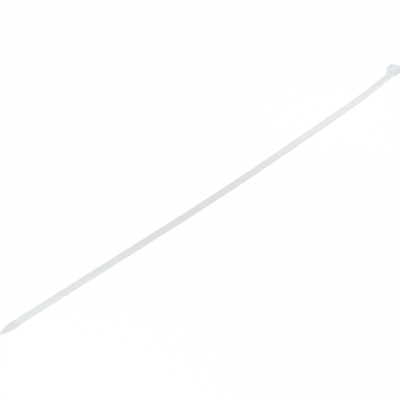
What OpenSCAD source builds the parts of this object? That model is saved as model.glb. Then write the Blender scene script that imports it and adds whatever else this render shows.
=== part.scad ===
// A cable tie moulded in one piece, lying as it was dropped: toothed face down,
// head up, with the gentle sideways bends that a bagged strap keeps.
// The origin is the centre of the slot where the strap enters the head.
// X runs along the head and away from the strap, and Z is up through the slot.

/* [Strap] */
// Length from the tip of the tail to the outer end of the head
tie_len = 400; // [385:5:430]
// Width of the strap
strap_w = 4.8; // [4.4:0.1:5.2]
// Thickness of the strap over its rails
strap_t = 1.3; // [1.1:0.05:1.5]
// Thickness of the web between the channel and the smooth outer face
web_t = 0.68; // [0.55:0.01:0.8]
// Width of each side rail at its foot
rail_w = 0.72; // [0.6:0.02:0.9]
// Radius of the long outer edges
edge_r = 0.32; // [0.2:0.02:0.4]
// Radius of the small edges at the rails' feet
foot_r = 0.16; // [0.1:0.02:0.2]
// How much each channel wall leans in, from the rail's foot to the web
channel_draft = 0.08; // [0.04:0.01:0.12]

/* [Teeth] */
// Distance from one tooth to the next
tooth_pitch = 1.27; // [1.1:0.01:1.6]
// Height of a tooth below the web
tooth_h = 0.5; // [0.3:0.02:0.55]
// Length of the flat land between two teeth
tooth_land = 0.2; // [0.1:0.02:0.3]
// Length of the flat crest of a tooth
tooth_crest = 0.14; // [0.06:0.02:0.3]
// Most teeth moulded in one straight group
teeth_in_group = 8; // [4:1:10]
// Smooth strap between the head and the first tooth
first_tooth = 14; // [8:1:40]

/* [Tail] */
// Length of the plain pointed tail
tail_len = 14.5; // [12:0.5:18]
// Width of the tail where it is widest
tail_w = 5.2; // [4.8:0.1:5.6]
// Thickness of the tail where it meets the strap
tail_t = 1.5; // [1.3:0.05:1.7]
// Thickness at the point of the tail
tip_t = 0.75; // [0.6:0.05:1]
// Radius of the rounded point
tip_r = 0.8; // [0.6:0.05:1.1]
// Bevel round the tail's upper edge
tail_bevel = 0.3; // [0.2:0.05:0.4]
// Share of the tail's length that keeps its full width
tail_full = 0.3; // [0.2:0.05:0.4]
// Thin band without teeth between the tail and the last tooth
plain_band = 4.4; // [3:0.2:7]

/* [Bends] */
// Straight run from the head to the first bend
head_run = 7; // [6:1:12]
// Length of the bend near the head
neck_bend_len = 48; // [40:1:60]
// Angle of the bend near the head
neck_bend = 5.4; // [2:0.2:8]
// Length of the long bend in the middle
bow_len = 118; // [100:1:125]
// Angle of the long bend in the middle
bow = 2.4; // [1:0.2:4]
// Straight run between the long bend and the tail bend
tail_run = 126; // [110:1:130]
// Length of the short bend before the tail
tail_bend_len = 10; // [8:1:14]
// Angle of the short bend before the tail, the other way
tail_bend = 2.2; // [1:0.2:4]

/* [Head] */
// Width of the head across the strap
head_w = 7.2; // [7:0.1:8.4]
// Length of the head along the strap
head_len = 7.6; // [7.5:0.1:8.6]
// Height of the head
head_h = 4.6; // [4.4:0.1:5.4]
// Thickness of the head's end wall, beyond the slot
end_wall = 1.75; // [1.5:0.05:2]
// Radius of the head's upright corners at its far end
head_corner = 1.3; // [0.8:0.1:1.6]
// Radius of the head's round shoulders towards the strap
back_corner = 2; // [1.6:0.1:2.4]
// Radius of the fillet between the strap's side and the shoulder
shoulder_r = 1.2; // [0.8:0.1:1.6]
// Radius of the edge round the head's top
head_edge = 0.55; // [0.3:0.05:0.8]
// Radius of the edge round the head's foot
head_foot_r = 0.3; // [0.2:0.05:0.4]
// Slope of the head's sides and far end, in degrees from upright
head_draft = 1.5; // [0:0.5:4]
// Slope of the head's face towards the strap, in degrees from upright
back_draft = 4; // [0:0.5:8]
// Radius of the fillet where the strap joins the head
neck_fillet = 1.1; // [0.8:0.1:1.4]

/* [Slot and pawl] */
// Clearance on each side of the strap in the slot
slot_side_gap = 0.22; // [0.15:0.01:0.3]
// Clearance over the thickness of the strap in the slot
slot_gap = 0.3; // [0.2:0.02:0.4]
// Depth of the bevel round the slot's mouth, under the head
mouth_bevel = 0.45; // [0.3:0.05:0.6]
// Room behind the slot for the pawl
pawl_room = 2.5; // [2.3:0.1:2.7]
// Clearance on each side of the pawl
pawl_side_gap = 0.25; // [0.2:0.05:0.35]
// Thickness of the pawl's hinge
hinge_t = 0.7; // [0.5:0.05:0.9]
// Height of the top of the pawl
pawl_h = 3.7; // [3.4:0.1:4]
// Thickness of the pawl from its teeth to its back
pawl_t = 1.35; // [1.2:0.05:1.5]
// How far the pawl's teeth reach into the slot
pawl_reach = 0.75; // [0.5:0.05:0.9]
// How far each tooth of the pawl stands ahead of the one below it
pawl_lean = 0.14; // [0.05:0.01:0.2]
// Teeth on the pawl
pawl_teeth = 2; // [1:1:2]

/* [Hidden] */
NYLON = [0.93, 0.94, 0.93];
// Overlap by which joined shapes sink into each other
bite = 0.12;
// How much narrower a straight run is on each side than the bent runs that it enters
seam = 0.002;
// Overshoot by which a cut runs past the face it opens
past = 1;
corner_steps = 5;
foot_steps = 3;
tail_steps = 9;
// Power of the curve by which the tail narrows
tail_curve = 1.9;

slot_w = strap_w + 2 * slot_side_gap;
slot_t = strap_t + slot_gap;
head_end = slot_t / 2 + end_wall;
head_back = head_end - head_len;
head_lean = head_h * tan(head_draft);
back_lean = (head_h - strap_t) * tan(back_draft);
cavity_back = -slot_t / 2 - pawl_room;
mid_run = tie_len - head_end - head_run - neck_bend_len - bow_len - tail_run - tail_bend_len - tail_len;
root_z = strap_t - web_t;
toothed_len = tie_len - head_end - tail_len - plain_band + head_back - first_tooth;
all_teeth = floor(toothed_len / tooth_pitch);
groups = ceil(all_teeth / teeth_in_group);
first_group = first_tooth - head_back;

// The strap's course from the slot back to the tail: each run's length and its turn in degrees
course = [
    [head_run, 0],
    [neck_bend_len, neck_bend],
    [mid_run, 0],
    [bow_len, bow],
    [tail_run, 0],
    [tail_bend_len, -tail_bend],
    [tail_len, 0]
];

function run_radius(run) = run[0] / (run[1] * PI / 180);

// Place and heading after a distance back along one run, from its own start
function back_along(place, run, d) =
    run[1] == 0
        ? [place[0] - d * cos(place[2]), place[1] - d * sin(place[2]), place[2]]
        : let (r = run_radius(run), h = place[2] - run[1] * d / run[0])
          [place[0] + r * (sin(h) - sin(place[2])), place[1] - r * (cos(h) - cos(place[2])), h];

// Place and heading where a run of the course starts
function run_start(i) = i == 0 ? [0, 0, 0] : back_along(run_start(i - 1), course[i - 1], course[i - 1][0]);

// Place and heading at a distance back from the slot
function station(d, i = 0) =
    i == len(course) - 1 || d <= course[i][0]
        ? back_along(run_start(i), course[i], d)
        : station(d - course[i][0], i + 1);

// Points of a round corner, from angle a to angle b
function corner(x, y, r, a, b, n = corner_steps) =
    [for (k = [0:n]) [x + r * cos(a + (b - a) * k / n), y + r * sin(a + (b - a) * k / n)]];

// A closed outline and its mirror image across the second axis, joined into one
function both_sides(half) = concat(half, [for (k = [len(half) - 1:-1:0]) [-half[k][0], half[k][1]]]);

module at_station(d) {
    place = station(d);
    translate([place[0], place[1], 0]) rotate([0, 0, place[2]]) children();
}

// Sweeps a section, drawn across the strap and upwards, along one run of the course
module sweep_run(i) {
    run = course[i];
    place = run_start(i);
    translate([place[0], place[1], 0])
        rotate([0, 0, place[2]])
            if (run[1] == 0)
                translate([bite, 0, 0]) rotate([90, 0, -90]) linear_extrude(run[0] + 2 * bite) children();
            else if (run[1] > 0)
                translate([0, run_radius(run), 0])
                    rotate([0, 0, -90 - run[1]])
                        rotate_extrude(angle = run[1], $fn = 256)
                            translate([run_radius(run), 0]) children();
            else
                translate([0, run_radius(run), 0])
                    rotate([0, 0, 90])
                        rotate_extrude(angle = -run[1], $fn = 256)
                            translate([-run_radius(run), 0]) children();
}

// Section of the strap: a flat outer face above, two side rails below and a channel between them
module strap_section(inset) {
    rail_in = strap_w / 2 - rail_w + inset;
    rail_out = strap_w / 2 - inset;
    polygon(both_sides(concat(
        [[rail_in - channel_draft, root_z]],
        corner(rail_in + foot_r, foot_r, foot_r, 180, 270, foot_steps),
        corner(rail_out - foot_r, foot_r, foot_r, 270, 360, foot_steps),
        corner(rail_out - edge_r, strap_t - edge_r, edge_r, 0, 90)
    )));
}

module strap() {
    for (i = [0:len(course) - 2]) sweep_run(i) strap_section(course[i][1] == 0 ? seam : 0);
}

// Fills the channel between the rails next to the head, where the strap is solid,
// and stops short of the first bend
module neck_core() {
    width = strap_w - 2 * rail_w + 2 * bite;
    reach = head_run - 2 * bite;
    translate([-reach, -width / 2, 0]) cube([reach, width, root_z + bite]);
}

// One straight group of teeth under the web: each has a steep face towards the head.
// Between the teeth the comb's back stays inside the web.
module tooth_group(count) {
    width = strap_w - 2 * rail_w + 2 * bite;
    ramp = tooth_pitch - tooth_land - tooth_crest;
    crest_z = root_z - tooth_h;
    back_z = root_z + bite / 2;
    ramp_over = ramp * (back_z - root_z) / tooth_h;
    teeth_line = [for (k = [0:count - 1]) let (x = -k * tooth_pitch) each [
        [x - tooth_land, back_z],
        [x - tooth_land, crest_z],
        [x - tooth_land - tooth_crest, crest_z],
        [x - tooth_pitch - ramp_over, back_z]
    ]];
    translate([0, width / 2, 0])
        rotate([90, 0, 0])
            linear_extrude(width)
                polygon(concat(
                    [[-tooth_land, root_z + bite]],
                    teeth_line,
                    [[-count * tooth_pitch - ramp_over, root_z + bite]]
                ));
}

module teeth() {
    for (g = [0:groups - 1]) {
        before = g * teeth_in_group;
        count = min(teeth_in_group, all_teeth - before);
        at_station(first_group + (before + count / 2) * tooth_pitch)
            translate([count * tooth_pitch / 2, 0, 0]) tooth_group(count);
    }
}

// Half of the tail's outline in plan, pointing down the page: sides that curve in to a rounded point
function tail_half(inset) =
    let (wide = tail_w / 2 - inset, point = tip_r - inset, reach = tail_len - tip_r, full = tail_len * tail_full)
    concat(
        [[strap_w / 2 - inset - seam, bite], [strap_w / 2 - inset - seam, -tail_bevel], [wide, -full / 2]],
        [for (k = [0:tail_steps - 1]) let (t = k / tail_steps)
            [wide - (wide - point) * pow(t, tail_curve), -full - (reach - full) * t]],
        [for (a = [0:15:75]) [point * cos(a), -reach - point * sin(a)]]
    );

module tail() {
    at_station(tie_len - head_end - tail_len)
        intersection() {
            rotate([0, 0, -90])
                hull() {
                    linear_extrude(tail_t - tail_bevel) polygon(both_sides(tail_half(0)));
                    linear_extrude(tail_t) polygon(both_sides(tail_half(tail_bevel)));
                }
            translate([0, tail_w, 0])
                rotate([90, 0, 0])
                    linear_extrude(2 * tail_w)
                        polygon([
                            [bite, 0],
                            [bite, strap_t - bite / 2],
                            [-tail_bevel, tail_t],
                            [-tail_len * tail_full, tail_t],
                            [-tail_len, tip_t],
                            [-tail_len, 0]
                        ]);
        }
}

// Plan of the head: round shoulders towards the strap, tighter corners at the far end
module head_plan() {
    half = head_w / 2;
    polygon(concat(
        corner(head_end - head_corner, -half + head_corner, head_corner, -90, 0),
        corner(head_end - head_corner, half - head_corner, head_corner, 0, 90),
        corner(head_back + back_corner, half - back_corner, back_corner, 90, 180),
        corner(head_back + back_corner, -half + back_corner, back_corner, 180, 270)
    ));
}

// Side view of the head: upright far end, sloped towards the strap
module head_profile() {
    polygon(concat(
        corner(head_end - head_foot_r, head_foot_r, head_foot_r, -90, 0, foot_steps),
        corner(head_end - head_lean - head_edge, head_h - head_edge, head_edge, 0, 90),
        corner(head_back + back_lean + head_edge, head_h - head_edge, head_edge, 90, 180),
        [[head_back, strap_t], [head_back, 0]]
    ));
}

// End view of the head, across the strap and upwards
module head_end_view() {
    polygon(both_sides(concat(
        corner(head_w / 2 - head_foot_r, head_foot_r, head_foot_r, -90, 0, foot_steps),
        corner(head_w / 2 - head_lean - head_edge, head_h - head_edge, head_edge, 0, 90)
    )));
}

module head_block() {
    intersection() {
        linear_extrude(head_h) head_plan();
        translate([0, head_w, 0]) rotate([90, 0, 0]) linear_extrude(2 * head_w) head_profile();
        translate([head_back - past, 0, 0]) rotate([90, 0, 90]) linear_extrude(head_len + 2 * past) head_end_view();
    }
}

// Curved gusset that carries the strap's outer face up into the head
module neck_gusset() {
    width = strap_w - 2 * edge_r;
    inside = head_back + bite + neck_fillet * tan(back_draft);
    translate([0, width / 2, 0])
        rotate([90, 0, 0])
            linear_extrude(width)
                polygon(concat(
                    [[inside, strap_t - bite], [inside, strap_t + neck_fillet]],
                    corner(head_back - neck_fillet, strap_t + neck_fillet, neck_fillet, 0, -90),
                    [[head_back - neck_fillet, strap_t - bite]]
                ));
}

// Fillets in plan between the strap's sides and the head's shoulders, each tangent to both
module neck_shoulders() {
    centre = [head_back + back_corner, head_w / 2 - back_corner];
    fillet_y = strap_w / 2 + shoulder_r;
    across = fillet_y - centre[1];
    along = sqrt(pow(back_corner + shoulder_r, 2) - across * across);
    fillet_x = centre[0] - along;
    meets = corner(fillet_x, fillet_y, shoulder_r, -90, -atan2(across, along));
    for (side = [-1, 1])
        linear_extrude(strap_t)
            polygon([for (p = concat([centre, [fillet_x, strap_w / 2 - edge_r]], meets)) [p[0], side * p[1]]]);
}

// Space for the strap, with a bevelled mouth, and for the pawl behind it
module head_cavity() {
    translate([-slot_t / 2, -slot_w / 2, -past]) cube([slot_t, slot_w, head_h + 2 * past]);
    translate([cavity_back, -slot_w / 2, strap_t]) cube([pawl_room + slot_t / 2, slot_w, head_h]);
    translate([0, slot_w / 2, 0])
        rotate([90, 0, 0])
            linear_extrude(slot_w)
                polygon([
                    [-slot_t / 2 - mouth_bevel, -past],
                    [-slot_t / 2 - mouth_bevel, 0],
                    [-slot_t / 2, mouth_bevel],
                    [slot_t / 2, mouth_bevel],
                    [slot_t / 2 + mouth_bevel, 0],
                    [slot_t / 2 + mouth_bevel, -past]
                ]);
}

// The sprung pawl: hinged low on the strap's side and leaning into the slot.
// Its teeth have their steep faces up, to catch the steep faces of the strap's teeth.
module pawl() {
    width = slot_w - 2 * pawl_side_gap;
    foot_x = -slot_t / 2;
    foot_z = strap_t - hinge_t;
    rise = 0.22;
    top_tooth = [foot_x + pawl_reach, pawl_h - rise];
    front = [for (k = [0:pawl_teeth - 1])
        let (down = pawl_teeth - 1 - k, x = top_tooth[0] - down * pawl_lean, z = top_tooth[1] - down * tooth_pitch)
        each [[x - tooth_h, z - tooth_pitch + rise], [x, z], [x - tooth_h, z + rise]]
    ];
    back_x = top_tooth[0] - pawl_t;
    translate([0, width / 2, 0])
        rotate([90, 0, 0])
            linear_extrude(width)
                polygon(concat(
                    [[cavity_back - bite, foot_z], [foot_x, foot_z]],
                    front,
                    [[back_x + pawl_lean, pawl_h - rise / 2]],
                    corner(back_x - pawl_lean - hinge_t / 2, strap_t + hinge_t / 2, hinge_t / 2, 0, -90, foot_steps),
                    [[cavity_back - bite, strap_t]]
                ));
}

module cable_tie() {
    color(NYLON) {
        difference() {
            union() {
                head_block();
                neck_gusset();
                neck_shoulders();
                strap();
                neck_core();
            }
            head_cavity();
        }
        pawl();
        teeth();
        tail();
    }
}

cable_tie();
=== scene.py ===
"""A one-piece nylon cable tie, lying on a plain white floor as it was dropped.

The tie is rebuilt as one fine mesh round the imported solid: the strap and its teeth are swept
along the same course, and the two ends are softened copies of the solid's own ends.
All sizes here are in millimetres, as in the part's source, until the mesh is handed over.
"""
import math

import bmesh
import bpy
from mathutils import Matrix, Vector
from mathutils.bvhtree import BVHTree


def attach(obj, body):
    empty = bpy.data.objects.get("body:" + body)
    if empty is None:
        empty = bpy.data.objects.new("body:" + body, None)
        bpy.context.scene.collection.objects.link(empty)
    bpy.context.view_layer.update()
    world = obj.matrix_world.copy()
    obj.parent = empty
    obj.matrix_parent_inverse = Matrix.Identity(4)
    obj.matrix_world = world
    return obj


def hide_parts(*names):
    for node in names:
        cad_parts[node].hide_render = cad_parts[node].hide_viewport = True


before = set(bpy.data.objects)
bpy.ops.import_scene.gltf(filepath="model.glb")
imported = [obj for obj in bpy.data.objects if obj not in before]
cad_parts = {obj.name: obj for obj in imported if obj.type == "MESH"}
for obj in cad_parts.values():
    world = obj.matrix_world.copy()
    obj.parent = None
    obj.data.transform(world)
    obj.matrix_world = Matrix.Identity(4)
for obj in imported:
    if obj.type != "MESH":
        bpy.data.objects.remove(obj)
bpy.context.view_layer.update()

MM = 0.001

# The moulding, as in the part's source
TIE_LEN = 400.0
STRAP_W = 4.8
STRAP_T = 1.3
WEB_T = 0.68
RAIL_W = 0.72
EDGE_R = 0.32
FOOT_R = 0.16
CHANNEL_DRAFT = 0.08
ROOT_Z = STRAP_T - WEB_T
TOOTH_PITCH = 1.27
TOOTH_H = 0.5
TOOTH_LAND = 0.2
TOOTH_CREST = 0.14
HEAD_LEN = 7.6
HEAD_END = 2.55
HEAD_H = 4.6
CAVITY_BACK = -3.3
SLOT_FAR = 0.8
SLOT_HALF = 2.62
TAIL_LEN = 14.5
PLAIN_BAND = 4.4
FIRST_TOOTH = 14.0 + HEAD_LEN - HEAD_END
TOOTH_COUNT = int((TIE_LEN - HEAD_END - TAIL_LEN - PLAIN_BAND - FIRST_TOOTH) / TOOTH_PITCH)

# The course from the slot back to the tail: the length and the turn in degrees of each run
MID_RUN = TIE_LEN - HEAD_END - 7 - 48 - 118 - 126 - 10 - TAIL_LEN
COURSE = ((7, 0), (48, 5.4), (MID_RUN, 0), (118, 2.4), (126, 0), (10, -2.2), (TAIL_LEN, 0))

TAIL_ROOT = TIE_LEN - HEAD_END - TAIL_LEN

# Where the softened ends give way to the swept strap, and how finely they are remeshed
HEAD_JOIN = 8.6
TAIL_JOIN = TAIL_ROOT - 1.6
JOIN_REACH = 0.02
END_OVERLAP = 1.2
END_VOXEL = 0.07
SOFTENING_ROUNDS = 3
KEPT_SHARE = 0.3

# The swept strap: its longest step where it is plain, and the small radius beside the teeth
PLAIN_STEP = 1.2
WALL_FILLET = 0.07

# Edges that turn by more than this many degrees stay crisp
CRISP_ANGLE = 32

# How far the thickness is looked for, and how often it is evened out at the two ends
LONGEST_RAY = 12.0
EVENING_ROUNDS = 10

# The colours of the nylon, and of the light painted onto it, as linear values
STRAP_COLOUR = (0.733, 0.748, 0.735, 1)
FAR_STRAP_COLOUR = (0.712, 0.736, 0.761, 1)
HEAD_COLOUR = (0.71, 0.746, 0.777, 1)
TAIL_COLOUR = (0.67, 0.693, 0.716, 1)
TOOTH_COLOUR = (0.75, 0.76, 0.76, 1)
CLOUD_COLOUR = (0.693, 0.708, 0.713, 1)
STREAK_COLOUR = (0.76, 0.77, 0.78, 1)
# Painted light: a pale colour that lightens the low sides and the strap's sides near the head
PAINTED_LIGHT_COLOUR = (0.9, 0.91, 0.915, 1)
# Painted light and a painted glow for the head's hollow, in place of light coming through its thin
# walls
HOLLOW_PAINTED_LIGHT = (0.86, 0.89, 0.92, 1)
HOLLOW_PAINTED_GLOW = (0.1, 0.105, 0.11, 1)
NO_GLOW = (0, 0, 0, 1)

FLOOR_DROP = 0.02

# The camera: fitted to the strap's edges and bends, the tail's point and the head's outline
VIEW_AZIMUTH = -59.775
VIEW_ELEVATION = 29.375
VIEW_DISTANCE = 2000.0
VIEW_TARGET = (-206.59, 23.55, 0.0)
VIEW_LENS = 3346 * 36 / 400


def after_run(place, run, distance):
    """Place and heading after a distance back along one run."""
    x, y, heading = place
    length, turn = run
    if turn == 0:
        return x - distance * math.cos(heading), y - distance * math.sin(heading), heading
    radius = length / math.radians(turn)
    ahead = heading - math.radians(turn) * distance / length
    return (
        x + radius * (math.sin(ahead) - math.sin(heading)),
        y - radius * (math.cos(ahead) - math.cos(heading)),
        ahead,
    )


def run_starts():
    """Place, heading and distance back from the slot at the start of each run."""
    starts = []
    place = (0.0, 0.0, 0.0)
    distance = 0.0
    for run in COURSE:
        starts.append((place, distance))
        place = after_run(place, run, run[0])
        distance += run[0]
    return starts


STARTS = run_starts()


def station(distance):
    """Place and heading at a distance back from the slot."""
    for (place, begun), run in zip(STARTS, COURSE):
        if distance <= begun + run[0] or run is COURSE[-1]:
            return after_run(place, run, distance - begun)


def along_and_across(x, y):
    """How far back from the slot a point lies, and how far from the strap's middle."""
    for (place, begun), run in zip(STARTS, COURSE):
        length, turn = run
        x0, y0, heading = place
        if turn == 0:
            back = -(x - x0) * math.cos(heading) - (y - y0) * math.sin(heading)
            aside = -(x - x0) * math.sin(heading) + (y - y0) * math.cos(heading)
        else:
            radius = length / math.radians(turn)
            cx = x0 - radius * math.sin(heading)
            cy = y0 + radius * math.cos(heading)
            sign = math.copysign(1, radius)
            angle = math.atan2(sign * (x - cx), -sign * (y - cy))
            back = (heading - angle) * radius
            aside = radius - sign * math.hypot(x - cx, y - cy)
        if back <= length or run is COURSE[-1]:
            return begun + back, aside


def tooth_floor():
    """Distances back from the slot, with the height of the channel's floor at each.

    Each tooth has a flat, a steep face with a rounded foot, a narrow crest and a long slope.
    """
    crest = ROOT_Z - TOOTH_H
    steep = TOOTH_LAND
    flat = steep + TOOTH_CREST
    profile = (
        (0.0, ROOT_Z),
        (steep - 0.02, ROOT_Z),
        (steep + 0.015, crest + 0.045),
        (steep + 0.045, crest),
        (flat, crest),
        (flat + 0.06, crest + 0.022),
    )
    spots = []
    steps = math.ceil((FIRST_TOOTH - HEAD_JOIN) / PLAIN_STEP)
    for k in range(steps):
        spots.append((HEAD_JOIN + (FIRST_TOOTH - HEAD_JOIN) * k / steps, ROOT_Z))
    for tooth in range(TOOTH_COUNT):
        start = FIRST_TOOTH + tooth * TOOTH_PITCH
        spots.extend((start + offset, height) for offset, height in profile)
    last = FIRST_TOOTH + TOOTH_COUNT * TOOTH_PITCH
    steps = math.ceil((TAIL_JOIN - last) / PLAIN_STEP)
    for k in range(steps + 1):
        spots.append((last + (TAIL_JOIN - last) * k / steps, ROOT_Z))
    return spots


def arc(cx, cz, radius, start, end, steps):
    """Points of a round corner, from one angle to another in degrees."""
    angles = [math.radians(start + (end - start) * k / steps) for k in range(steps + 1)]
    return [(cx + radius * math.cos(a), cz + radius * math.sin(a)) for a in angles]


def strap_ring(floor_z):
    """The strap's section, from the middle of its outer face round to its other side."""
    half = STRAP_W / 2
    rail_in = half - RAIL_W
    draft = CHANNEL_DRAFT / (ROOT_Z - FOOT_R)
    wall = rail_in - draft * (floor_z - FOOT_R)
    side = [(0.0, STRAP_T), (rail_in - 0.2, STRAP_T), (rail_in + 0.15, STRAP_T)]
    side += arc(half - EDGE_R, STRAP_T - EDGE_R, EDGE_R, 90, 0, 4)
    side += arc(half - FOOT_R, FOOT_R, FOOT_R, 0, -90, 2)
    side += arc(rail_in + FOOT_R, FOOT_R, FOOT_R, -90, -135, 1)
    meet = min(floor_z, FOOT_R)
    meet_in = rail_in + FOOT_R - math.sqrt(FOOT_R**2 - (FOOT_R - meet) ** 2)
    side.append((meet_in, meet))
    if floor_z > FOOT_R + WALL_FILLET:
        side += [(wall + draft * WALL_FILLET, floor_z - WALL_FILLET), (wall - WALL_FILLET, floor_z)]
    else:
        side += [(meet_in - 0.01, floor_z), (meet_in - 0.03, floor_z)]
    middle = [(0.0, floor_z)]
    return side + middle + [(-across, z) for across, z in reversed(side[1:])]


def swept_strap():
    """The toothed strap between the two joins, open at both ends."""
    bm = bmesh.new()
    before = None
    for distance, floor_z in tooth_floor():
        x, y, heading = station(distance)
        ring = [
            bm.verts.new((x - across * math.sin(heading), y + across * math.cos(heading), z))
            for across, z in strap_ring(floor_z)
        ]
        if before:
            for k, vert in enumerate(ring):
                bm.faces.new((before[k - 1], before[k], vert, ring[k - 1]))
        before = ring
    return bm


def keep_side(bm, distance, towards_head, fill):
    """Cuts the mesh straight across the strap and keeps one side."""
    x, y, heading = station(distance)
    sign = -1 if towards_head else 1
    cut = bmesh.ops.bisect_plane(
        bm,
        geom=bm.verts[:] + bm.edges[:] + bm.faces[:],
        dist=1e-6,
        plane_co=(x, y, 0),
        plane_no=(sign * math.cos(heading), sign * math.sin(heading), 0),
        clear_outer=True,
    )
    if fill:
        edges = [part for part in cut["geom_cut"] if isinstance(part, bmesh.types.BMEdge)]
        bmesh.ops.triangle_fill(bm, edges=edges, use_beauty=True)


def softened(bm):
    """Remeshes a closed shape evenly, rounds its edges off slightly and thins the flat areas out."""
    mesh = bpy.data.meshes.new("end_blank")
    bm.to_mesh(mesh)
    bm.free()
    blank = bpy.data.objects.new("end_blank", mesh)
    bpy.context.scene.collection.objects.link(blank)
    remesh = blank.modifiers.new("even", "REMESH")
    remesh.mode = "VOXEL"
    remesh.voxel_size = END_VOXEL
    smooth = blank.modifiers.new("soft", "SMOOTH")
    smooth.factor = 0.5
    smooth.iterations = SOFTENING_ROUNDS
    thin = blank.modifiers.new("thin", "DECIMATE")
    thin.ratio = KEPT_SHARE
    evaluated = blank.evaluated_get(bpy.context.evaluated_depsgraph_get())
    result = bmesh.new()
    result.from_mesh(evaluated.to_mesh())
    evaluated.to_mesh_clear()
    bpy.data.objects.remove(blank)
    bpy.data.meshes.remove(mesh)
    return result


def moulded_end(solid, join, towards_head):
    """One end of the solid with softly rounded edges, open where it joins the strap."""
    bm = bmesh.new()
    bm.from_mesh(solid.data)
    bmesh.ops.scale(bm, vec=(1 / MM, 1 / MM, 1 / MM), verts=bm.verts)
    bmesh.ops.remove_doubles(bm, verts=bm.verts, dist=1e-4)
    overlap = END_OVERLAP if towards_head else -END_OVERLAP
    keep_side(bm, join + overlap, towards_head, True)
    bmesh.ops.recalc_face_normals(bm, faces=bm.faces)
    bm = softened(bm)
    keep_side(bm, join, towards_head, False)
    return bm


def add_to(bm, other):
    """Puts a copy of one mesh into another, and frees the first."""
    mesh = bpy.data.meshes.new("part_blank")
    other.to_mesh(mesh)
    other.free()
    bm.from_mesh(mesh)
    bpy.data.meshes.remove(mesh)


def bridge_at(bm, distance):
    """Joins the two open loops that lie across the strap at this distance."""
    x, y, heading = station(distance)
    ahead = Vector((math.cos(heading), math.sin(heading), 0))
    middle = Vector((x, y, 0))
    edges = [
        edge
        for edge in bm.edges
        if edge.is_boundary and all(abs((v.co - middle).dot(ahead)) < JOIN_REACH for v in edge.verts)
    ]
    bmesh.ops.bridge_loops(bm, edges=edges)


def depth_in_hollow(point):
    """How deep a point lies in the head's hollow, from 0 at its rim to 1."""
    inside = CAVITY_BACK - 0.1 < point.x < SLOT_FAR + 0.1 and abs(point.y) < SLOT_HALF + 0.1
    return min(max((HEAD_H - 0.1 - point.z) / 0.5, 0.0), 1.0) if inside else 0.0


def even_out(bm, layer, along_layer):
    """Evens a value out over neighbouring points of the two ends."""
    ends = [vert for vert in bm.verts if not HEAD_JOIN < vert[along_layer] < TAIL_JOIN]
    near = [[edge.other_vert(vert) for edge in vert.link_edges] for vert in ends]
    for _ in range(EVENING_ROUNDS):
        means = [sum(other[layer] for other in others) / len(others) for others in near]
        for vert, mean in zip(ends, means):
            vert[layer] = mean


def tie_mesh(solid):
    """The whole tie as one closed mesh, with what the material needs to know at each point."""
    bm = swept_strap()
    add_to(bm, moulded_end(solid, HEAD_JOIN, True))
    add_to(bm, moulded_end(solid, TAIL_JOIN, False))
    bridge_at(bm, HEAD_JOIN)
    bridge_at(bm, TAIL_JOIN)
    bmesh.ops.recalc_face_normals(bm, faces=bm.faces)
    depth_layer = bm.verts.layers.float.new("depth")
    along_layer = bm.verts.layers.float.new("along")
    across_layer = bm.verts.layers.float.new("across")
    height_layer = bm.verts.layers.float.new("height")
    hollow_layer = bm.verts.layers.float.new("hollow")
    bm.normal_update()
    tree = BVHTree.FromBMesh(bm)
    for vert in bm.verts:
        start = vert.co - vert.normal * 0.02
        hit = tree.ray_cast(start, -vert.normal, LONGEST_RAY)
        vert[depth_layer] = hit[3] if hit[0] else 0.0
        vert[along_layer], vert[across_layer] = along_and_across(vert.co.x, vert.co.y)
        vert[height_layer] = vert.co.z
        # Where the head's hollow gets its painted light and glow: its walls and floor, more so deeper
        # in
        vert[hollow_layer] = depth_in_hollow(vert.co) * (1 - max(vert.normal.z, 0))
    even_out(bm, depth_layer, along_layer)
    bmesh.ops.scale(bm, vec=(MM, MM, MM), verts=bm.verts)
    mesh = bpy.data.meshes.new("cable_tie_moulding")
    bm.to_mesh(mesh)
    bm.free()
    mesh.shade_smooth()
    mesh.set_sharp_from_angle(angle=math.radians(CRISP_ANGLE))
    return mesh


class Socket:
    """A shader socket that takes Python's operators and adds a Math node for each."""

    def __init__(self, shader, socket):
        self.shader = shader
        self.socket = socket

    def calc(self, operation, *values):
        return self.shader.add("ShaderNodeMath", {"operation": operation}, dict(enumerate(values)))

    def __add__(self, other):
        return self.calc("ADD", self, other)

    def __sub__(self, other):
        return self.calc("SUBTRACT", self, other)

    def __rsub__(self, other):
        return self.calc("SUBTRACT", other, self)

    def __mul__(self, other):
        return self.calc("MULTIPLY", self, other)

    __radd__ = __add__
    __rmul__ = __mul__


class Shader:
    """A material's nodes."""

    def __init__(self, name):
        self.material = bpy.data.materials.new(name)
        self.material.use_nodes = True
        self.tree = self.material.node_tree
        self.tree.nodes.clear()

    def add(self, kind, settings=None, inputs=None, output=0):
        node = self.tree.nodes.new(kind)
        for key, value in (settings or {}).items():
            setattr(node, key, value)
        for key, value in (inputs or {}).items():
            if isinstance(value, Socket):
                self.tree.links.new(value.socket, node.inputs[key])
            else:
                node.inputs[key].default_value = value
        return Socket(self, node.outputs[output]) if node.outputs else None

    def attribute(self, name):
        return self.add("ShaderNodeAttribute", {"attribute_name": name}, output="Fac")

    def ramp(self, value, low, high, low_out=0.0, high_out=1.0):
        """Rises smoothly from low_out to high_out as the value goes from low to high."""
        return self.add(
            "ShaderNodeMapRange",
            {"interpolation_type": "SMOOTHSTEP"},
            {"Value": value, "From Min": low, "From Max": high, "To Min": low_out, "To Max": high_out},
        )

    def blend(self, factor, low, high):
        return self.add(
            "ShaderNodeMix",
            {"data_type": "RGBA"},
            {"Factor": factor, 6: low, 7: high},
            output=2,
        )

    def noise(self, scale, detail=2.0, coordinates=None):
        place = coordinates or self.add("ShaderNodeTexCoord", output="Object")
        return self.add("ShaderNodeTexNoise", {}, {"Vector": place, "Scale": scale, "Detail": detail})


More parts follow.
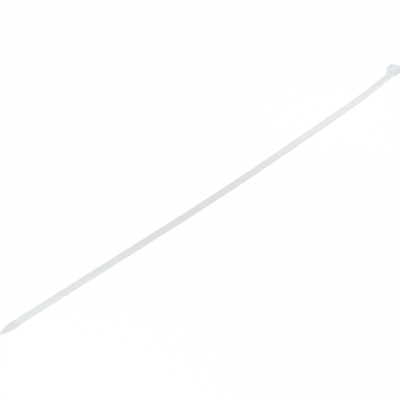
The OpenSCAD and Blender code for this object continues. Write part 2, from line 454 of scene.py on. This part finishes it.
def nylon():
    """Natural nylon: cloudy off-white, cooler where it is thick, with painted light low on its sides
    and a painted glow inside the head's hollow.
    """
    shader = Shader("nylon")
    depth = shader.attribute("depth")
    along = shader.attribute("along")
    across = shader.attribute("across")
    height = shader.attribute("height")
    hollow = shader.attribute("hollow")

    # Soft clouds, fine grain, and streaks along the strap where the nylon flowed into the mould
    cloud = shader.noise(90.0, 3.0)
    grain = shader.noise(2600.0, 3.0)
    stretched = shader.add("ShaderNodeCombineXYZ", {}, {0: along * 0.05, 1: across, 2: height})
    streak = shader.noise(1.6, 4.0, stretched)

    # Where each tint lies: the teeth show through the strap, and the head and tail are cooler
    teeth = shader.ramp(depth, 0.72, 1.12) * shader.ramp(along, 8.0, 16.0) * 0.35
    head = shader.ramp(along, 5.0, 9.0, 1.0, 0.0) * (0.75 + 0.25 * shader.ramp(depth, 0.9, 2.6))
    tail = shader.ramp(along, TAIL_ROOT - 0.6, TAIL_ROOT + 0.6)

    # Painted light: lighter low on every side, and on the strap's two sides near the head, in place of
    # light that the translucent nylon carries into its shade
    foot = shader.ramp(height, 0.0, 1.1, 1.0, 0.0) * shader.ramp(along, 5.0, 40.0, 0.9, 0.4)
    neck = shader.ramp(along, 5.5, 7.5) * shader.ramp(along, 6.0, 80.0, 0.9, 0.0)
    side = shader.ramp(across.calc("ABSOLUTE", across), 2.1, 2.38) * neck

    colour = shader.blend(shader.ramp(along, 180.0, 330.0), STRAP_COLOUR, FAR_STRAP_COLOUR)
    colour = shader.blend(teeth, colour, TOOTH_COLOUR)
    colour = shader.blend(head, colour, HEAD_COLOUR)
    colour = shader.blend(tail, colour, TAIL_COLOUR)
    colour = shader.blend(shader.ramp(cloud, 0.35, 0.7, 0.0, 0.12), colour, CLOUD_COLOUR)
    colour = shader.blend(shader.ramp(streak, 0.45, 0.75, 0.0, 0.1), colour, STREAK_COLOUR)
    # Painted light: the low sides and the strap's sides near the head are lightened, in place of their
    # shade
    colour = shader.blend(side.calc("MAXIMUM", side, foot), colour, PAINTED_LIGHT_COLOUR)
    # Painted light: the head's hollow is paler, in place of light coming through its thin walls
    colour = shader.blend(hollow * 0.8, colour, HOLLOW_PAINTED_LIGHT)
    roughness = 0.36 + 0.1 * (cloud - 0.5) + 0.08 * (grain - 0.5) + 0.3 * (streak - 0.5)
    relief = {"Strength": 0.05, "Distance": 0.00003, "Height": grain + streak}
    surface = shader.add(
        "ShaderNodeBsdfPrincipled",
        {},
        {
            "Base Color": colour,
            # Painted glow: the hollow emits a little light, though it is no lamp
            "Emission Color": shader.blend(hollow, NO_GLOW, HOLLOW_PAINTED_GLOW),
            "Emission Strength": 1.0,
            "Roughness": roughness,
            "IOR": 1.52,
            "Normal": shader.add("ShaderNodeBump", {}, relief),
        },
    )
    shader.add("ShaderNodeOutputMaterial", {}, {"Surface": surface})
    return shader.material


def white_floor():
    """A white floor that shows nearly white by itself and still takes a faint shadow."""
    shader = Shader("white_floor")
    rays = shader.add("ShaderNodeLightPath", output="Is Camera Ray")
    glossy = shader.add("ShaderNodeLightPath", output="Is Glossy Ray")
    through = shader.add("ShaderNodeLightPath", output="Is Transmission Ray")
    seen = rays.calc("MAXIMUM", rays.calc("MAXIMUM", rays, glossy), through)
    matt = shader.add("ShaderNodeBsdfDiffuse", {}, {"Color": (0.9, 0.9, 0.9, 1)})
    glow = shader.add("ShaderNodeEmission", {}, {"Color": (1, 1, 1, 1), "Strength": 1.0})
    surface = shader.add("ShaderNodeMixShader", {}, {0: seen * 0.93, 1: matt, 2: glow})
    shader.add("ShaderNodeOutputMaterial", {}, {"Surface": surface})
    return shader.material


def area_lamp(name, place, aim, size, watts):
    """A soft square lamp that lights the tie and doesn't show in any view."""
    lamp = bpy.data.lights.new(name, "AREA")
    lamp.shape = "SQUARE"
    lamp.size = size
    lamp.energy = watts
    obj = bpy.data.objects.new(name, lamp)
    obj.location = place
    obj.rotation_euler = (Vector(aim) - Vector(place)).to_track_quat("-Z", "Y").to_euler()
    obj.visible_camera = False
    bpy.context.scene.collection.objects.link(obj)


def studio():
    """White surroundings, a large soft lamp, a small one over each end, and the floor."""
    world = bpy.data.worlds.new("studio")
    bpy.context.scene.world = world
    world.use_nodes = True
    sky = world.node_tree.nodes["Background"]
    sky.inputs["Color"].default_value = (1, 1, 1, 1)
    sky.inputs["Strength"].default_value = 0.8
    area_lamp("soft_lamp", (-2.2, -1.4, 2.2), (-0.2, 0.0, 0.0), 2.0, 16.0)
    area_lamp("head_lamp", (-0.065, 0.0, 0.13), (-0.015, 0.0, 0.0), 0.12, 0.044)
    area_lamp("tail_lamp", (-0.45, -0.03, 0.2), (-0.4, 0.03, 0.0), 0.14, 0.12)
    bpy.ops.mesh.primitive_plane_add(size=30.0, location=(0, 0, -FLOOR_DROP * MM))
    floor = bpy.context.object
    floor.name = "floor"
    floor.data.materials.append(white_floor())


def camera():
    """The photo's view: seen from one side and above, with little perspective."""
    azimuth = math.radians(VIEW_AZIMUTH)
    elevation = math.radians(VIEW_ELEVATION)
    look = Vector((
        -math.sin(azimuth) * math.cos(elevation),
        math.cos(azimuth) * math.cos(elevation),
        -math.sin(elevation),
    ))
    data = bpy.data.cameras.new("camera")
    data.sensor_width = 36.0
    data.lens = VIEW_LENS
    data.clip_end = 100.0
    obj = bpy.data.objects.new("camera", data)
    obj.location = (Vector(VIEW_TARGET) - look * VIEW_DISTANCE) * MM
    obj.rotation_euler = look.to_track_quat("-Z", "Y").to_euler()
    bpy.context.scene.collection.objects.link(obj)
    bpy.context.scene.camera = obj


camera()
studio()
bpy.context.scene.view_settings.view_transform = "Standard"

tie = bpy.data.objects.new("cable_tie_moulding", tie_mesh(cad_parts["cable_tie"]))
bpy.context.scene.collection.objects.link(tie)
tie.data.materials.append(nylon())
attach(tie, "root")
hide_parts("cable_tie")
